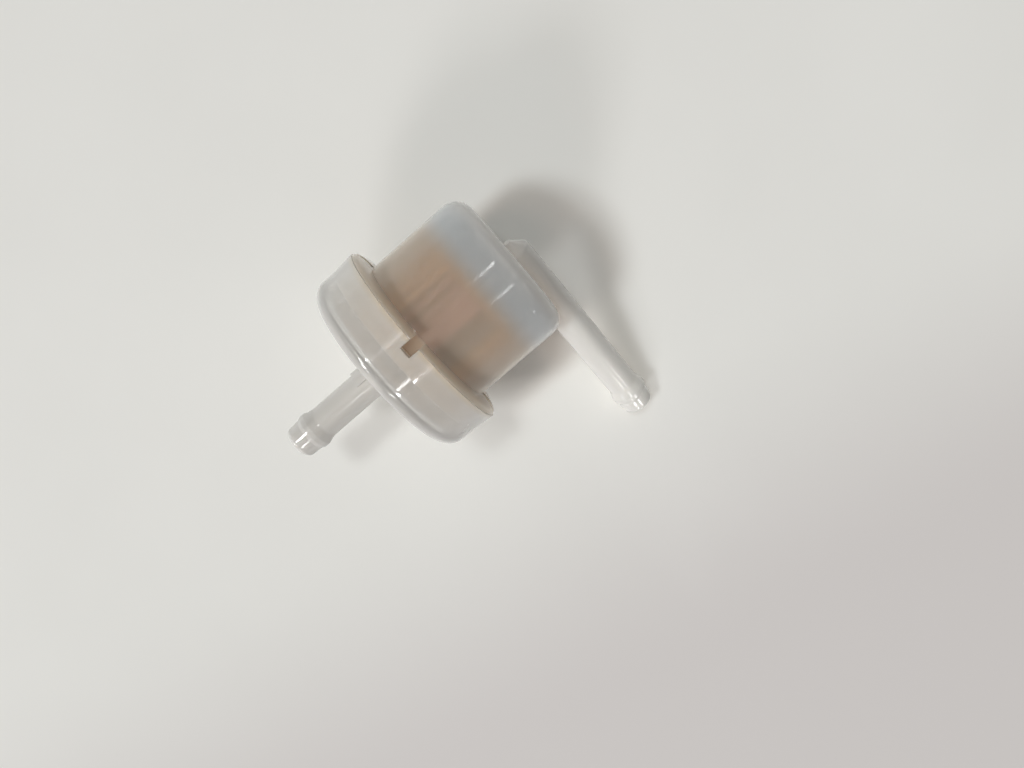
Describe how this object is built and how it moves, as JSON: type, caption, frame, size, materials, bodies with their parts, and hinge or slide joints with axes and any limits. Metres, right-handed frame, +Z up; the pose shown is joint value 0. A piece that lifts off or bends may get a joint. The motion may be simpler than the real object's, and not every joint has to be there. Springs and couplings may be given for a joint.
{
  "type": "fuel filter",
  "caption": "In-line fuel filter: a translucent cap with a straight inlet nipple, a bowl with a right-angled outlet nipple, and a pleated paper element sealed inside.",
  "frame": {"origin": "on the filter's axis, in the middle of the bowl's straight clamping band", "axes": "+X along the filter's axis from the inlet towards the bowl's closed end; +Z up as the filter lies on a bench on its skirt and its outlet's tip; the outlet points to -Y and down"},
  "size_m": [0.062, 0.0643, 0.042],
  "materials": {
    "cap_plastic": "natural translucent nylon, satin gloss, milky where it is thick",
    "bowl_plastic": "natural translucent nylon, satin gloss",
    "paper": "resin-impregnated filter paper, matt and fibrous",
    "seam_paper": "lapped and glued filter paper, matt",
    "collar_board": "fibre board ring, matt brown",
    "potting": "cured adhesive, dull",
    "disc_board": "fibre board disc, matt"
  },
  "bodies": {
    "root": {"cap": "cap_plastic", "bowl": "bowl_plastic", "filter_paper": "paper", "seam_strip": "seam_paper", "element_collar": "collar_board", "collar_potting": "potting", "end_potting": "potting", "end_disc": "disc_board"}
  },
  "joints": []
}
